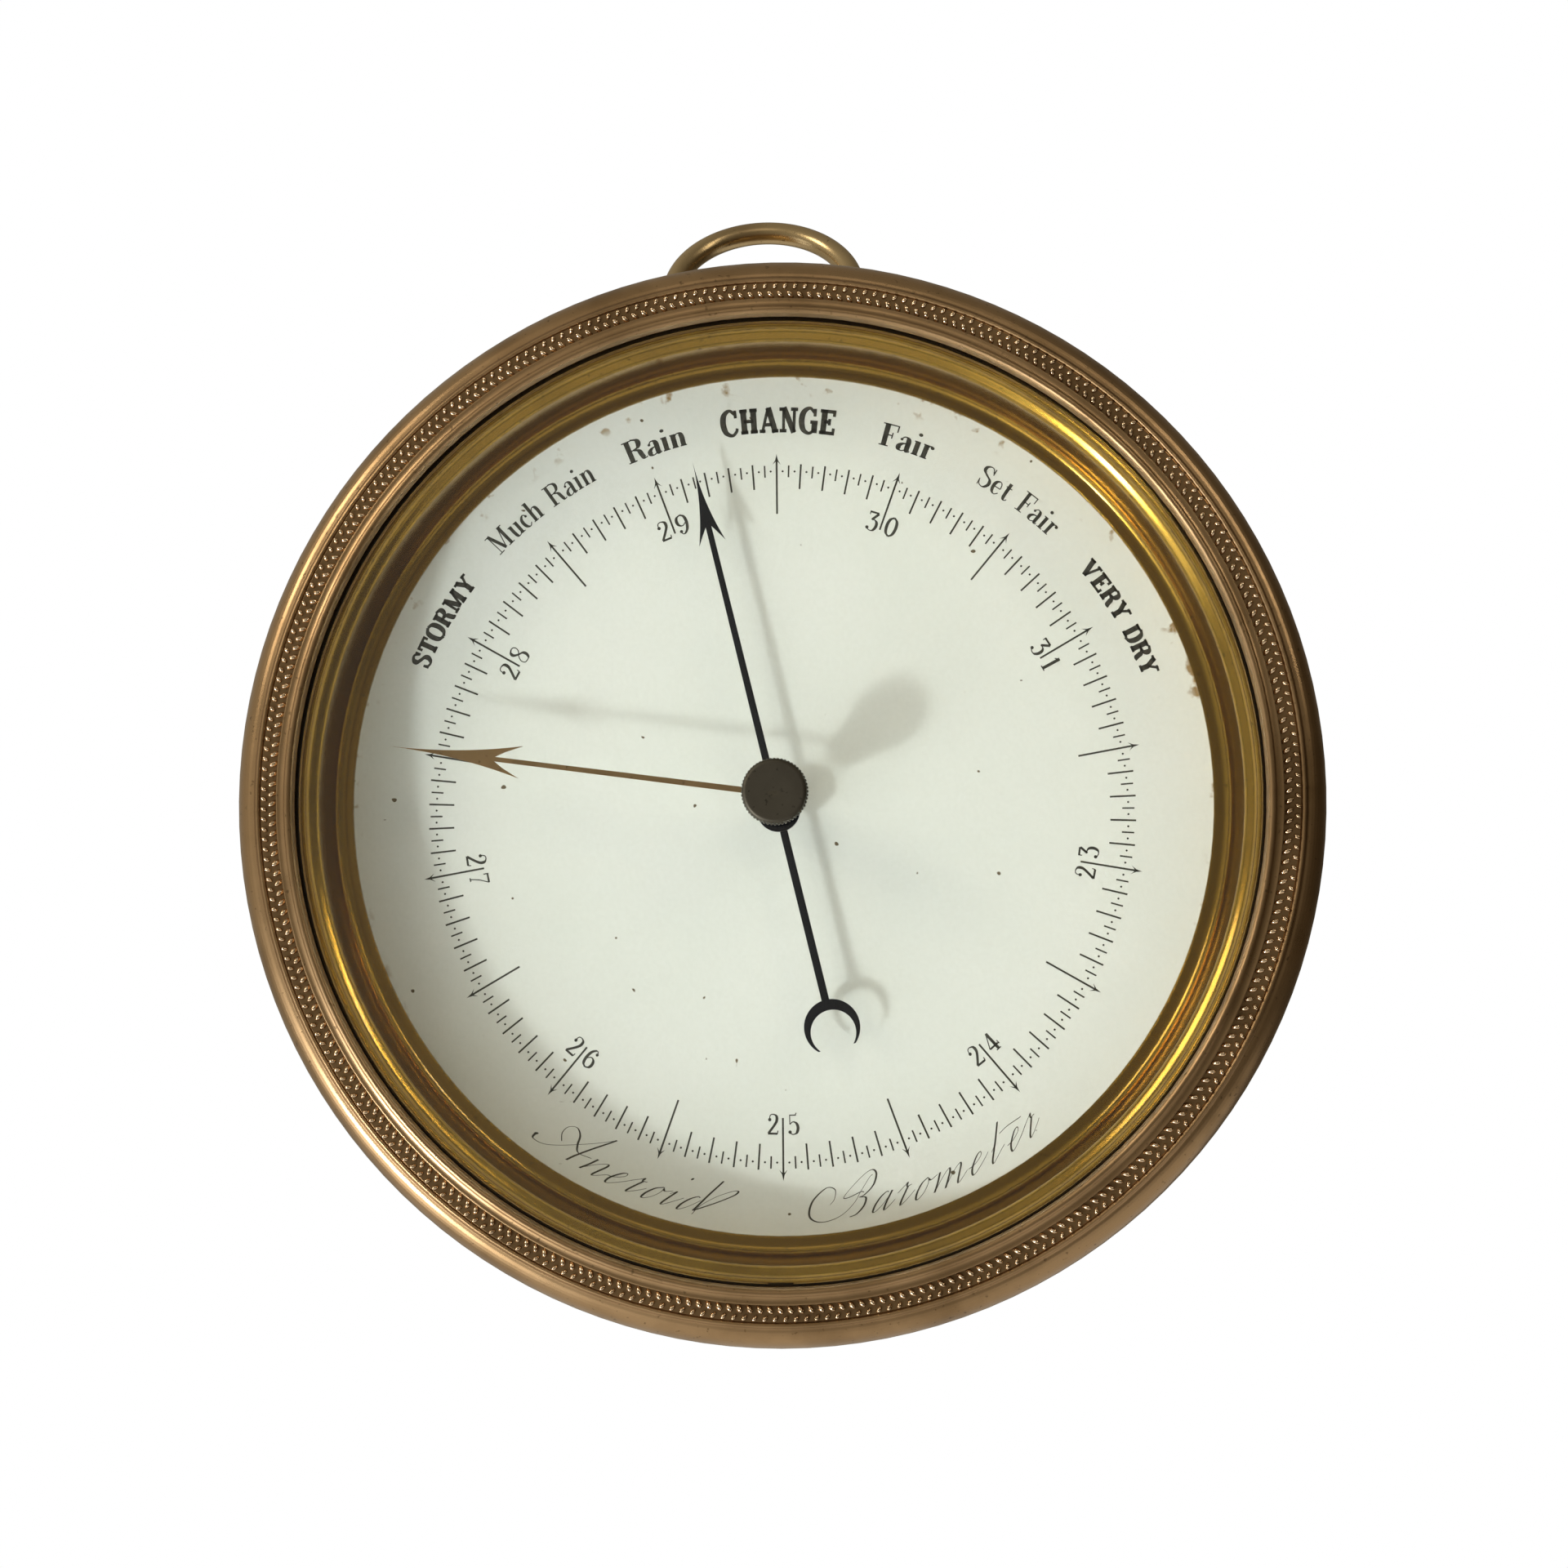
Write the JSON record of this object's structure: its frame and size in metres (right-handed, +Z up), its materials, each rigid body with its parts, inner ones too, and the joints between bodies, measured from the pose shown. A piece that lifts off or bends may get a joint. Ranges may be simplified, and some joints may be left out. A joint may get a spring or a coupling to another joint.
{
  "type": "aneroid barometer",
  "caption": "Round wall-hung aneroid barometer: brass drum case, milled glazed bezel, white dial, pointer and set hand over a capsule movement, and a hanging ring.",
  "frame": {"origin": "centre of the flat case back, which rests on the wall", "axes": "+Y out of the case back into the wall, so the dial faces -Y; +Z up to the hanging ring; +X to the right as one reads the dial"},
  "size_m": [0.13, 0.0446, 0.1484],
  "materials": {
    "bezel_bronze": "rosy lacquered brass, satin, with a milled band and dark patina in its hollows",
    "case_brass": "turned brass, satin, lacquered and tarnished",
    "gilt_brass": "golden lacquered brass, polished, with fine turning lines",
    "dial_white": "cool white, smooth, semi-matt, with tiny specks",
    "glass": "clear flat glass",
    "movement_brass": "machined brass, fine grained",
    "blued_steel": "heat-blued steel, almost black",
    "steel": "turned steel, bright",
    "spring_steel": "tempered spring steel, grey",
    "capsule_metal": "nickel silver sheet, soldered at the rim",
    "cast_iron": "black lacquered casting",
    "copper": "copper, pinched and soldered",
    "hand_brass": "thin brass, browned",
    "knob_bronze": "dark bronzed brass, matt, with a milled edge",
    "leather": "thin leather washer",
    "ring_brass": "drawn brass wire, worn bright on its outside"
  },
  "bodies": {
    "root": {"case_drum": "case_brass", "bezel": "bezel_bronze", "bezel_glass": "glass", "glass_retaining_ring": "gilt_brass", "reflector_ring": "gilt_brass", "dial_plate": "dial_white", "dial_feet": "movement_brass", "dial_foot_screws": "blued_steel", "dial_pillars": "movement_brass", "base_plate": "movement_brass", "base_plate_screws": "blued_steel", "frame_screws": "blued_steel", "capsule_base_stud": "movement_brass", "capsule_back_diaphragm": "capsule_metal", "capsule_front_diaphragm": "capsule_metal", "capsule_rim_band": "capsule_metal", "capsule_seal_tip": "copper", "spring_bridge": "cast_iron", "mainspring": "spring_steel", "spring_clamp_plate": "movement_brass", "spring_clamp_screws": "blued_steel", "shaft_brackets": "movement_brass", "hairspring": "blued_steel", "hairspring_stud": "steel", "arbor_pillars": "movement_brass", "arbor_lower_plate": "movement_brass", "arbor_frame_spacers": "movement_brass", "arbor_top_plate": "movement_brass", "arbor_frame_screws": "blued_steel", "ring_stud": "ring_brass", "ring_stud_nut": "case_brass"},
    "pointer_arbor": {"arbor": "steel", "chain_drum": "movement_brass", "hairspring_collet": "movement_brass", "pointer": "blued_steel", "pointer_hub": "blued_steel"},
    "rocker": {"rocking_shaft": "steel", "crank_arm": "movement_brass", "chain_arm": "movement_brass"},
    "lever": {"lever_arm": "movement_brass", "lever_screws": "blued_steel"},
    "link": {"link_rod": "steel", "link_pins": "steel"},
    "capsule_centre": {"capsule_pillar": "steel", "hook_pin": "steel"},
    "chain_run": {"chain": "steel"},
    "set_hand_group": {"set_hand": "hand_brass", "set_hand_hub": "hand_brass", "set_hand_arbor": "hand_brass", "set_hand_spring_washer": "spring_steel", "set_knob_washer": "leather", "set_knob": "knob_bronze"},
    "adjuster": {"adjusting_screw": "steel"},
    "ring": {"hanging_ring": "ring_brass"}
  },
  "joints": [
    {"name": "pointer_turn", "type": "hinge", "parent": "root", "child": "pointer_arbor", "pos_m": [0, -0.03, -0.0016], "axis": [0, 1, 0], "range_deg": [-246, 94], "stiffness_Nm_per_rad": 0.0005, "deforming": ["hairspring"]},
    {"name": "rocker_turn", "type": "hinge", "parent": "root", "child": "rocker", "pos_m": [0.03, -0.0085, -0.0016], "axis": [0, 0, 1], "range_deg": [-19.62, 7.5]},
    {"name": "lever_tilt", "type": "hinge", "parent": "root", "child": "lever", "pos_m": [-0.012, -0.0141, -0.0016], "axis": [0, 0, 1], "range_deg": [-2.78, 1.06], "deforming": ["mainspring"]},
    {"name": "link_swing", "type": "hinge", "parent": "lever", "child": "link", "pos_m": [0.03696, -0.0145, 0.0084], "axis": [0, 0, 1], "range_deg": [-1.06, 2.78]},
    {"name": "capsule_travel", "type": "slide", "parent": "root", "child": "capsule_centre", "axis": [0, 1, 0], "range_m": [-0.0005818, 0.0002223], "deforming": ["capsule_front_diaphragm"]},
    {"name": "chain_travel", "type": "slide", "parent": "root", "child": "chain_run", "axis": [1, 0, 0], "range_m": [-0.00438, 0.00167], "deforming": ["chain"]},
    {"name": "set_hand_turn", "type": "hinge", "parent": "root", "child": "set_hand_group", "pos_m": [0, -0.04, 0], "axis": [0, 1, 0], "continuous": true},
    {"name": "adjusting_screw_turn", "type": "hinge", "parent": "root", "child": "adjuster", "pos_m": [-0.034, -0.005, -0.0016], "axis": [0, 1, 0], "range_deg": [-180, 180]},
    {"name": "ring_swing", "type": "hinge", "parent": "root", "child": "ring", "pos_m": [-0.001, -0.015, 0.061], "axis": [1, 0, 0], "range_deg": [0, 100]}
  ],
  "couplings": [
    {"joint": "rocker_turn", "follows": "pointer_turn", "ratio": 0.0782},
    {"joint": "lever_tilt", "follows": "pointer_turn", "ratio": 0.01107},
    {"joint": "link_swing", "follows": "pointer_turn", "ratio": -0.01107},
    {"joint": "capsule_travel", "follows": "pointer_turn", "m_per_rad": 0.00013284},
    {"joint": "chain_travel", "follows": "pointer_turn", "m_per_rad": 0.001}
  ]
}
